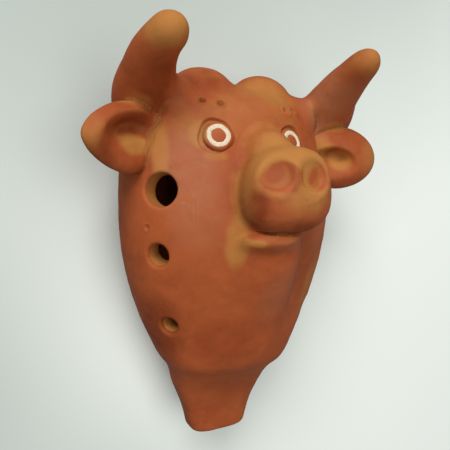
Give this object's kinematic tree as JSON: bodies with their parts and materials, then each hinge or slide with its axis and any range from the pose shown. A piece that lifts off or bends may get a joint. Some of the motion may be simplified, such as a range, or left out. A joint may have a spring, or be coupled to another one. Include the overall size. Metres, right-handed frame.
{
  "type": "bull ocarina",
  "caption": "Vessel flute shaped as a bull's head in red clay, hollow, with a beak to blow, finger holes in the cheeks, horns, cupped ears and a blunt muzzle.",
  "frame": {"origin": "under the middle of the whistle's bounding box, in the plane that its back rests on", "axes": "+Y from the beak to the horns, +Z out of the bull's face, +X to the bull's own left"},
  "size_m": [0.1082, 0.1356, 0.0645],
  "materials": {
    "red_clay": "matte burnished terracotta",
    "ochre_clay": "matte terracotta rubbed to yellow ochre",
    "cream_slip": "matte painted slip"
  },
  "bodies": {
    "root": {"face_shell": "red_clay", "back_shell": "red_clay", "mouthpiece": "red_clay", "muzzle": "ochre_clay", "lower_lip": "red_clay", "left_horn": "red_clay", "right_horn": "red_clay", "left_ear": "red_clay", "right_ear": "red_clay", "left_eye": "red_clay", "right_eye": "red_clay", "left_eye_ring": "cream_slip", "right_eye_ring": "cream_slip"}
  },
  "joints": []
}
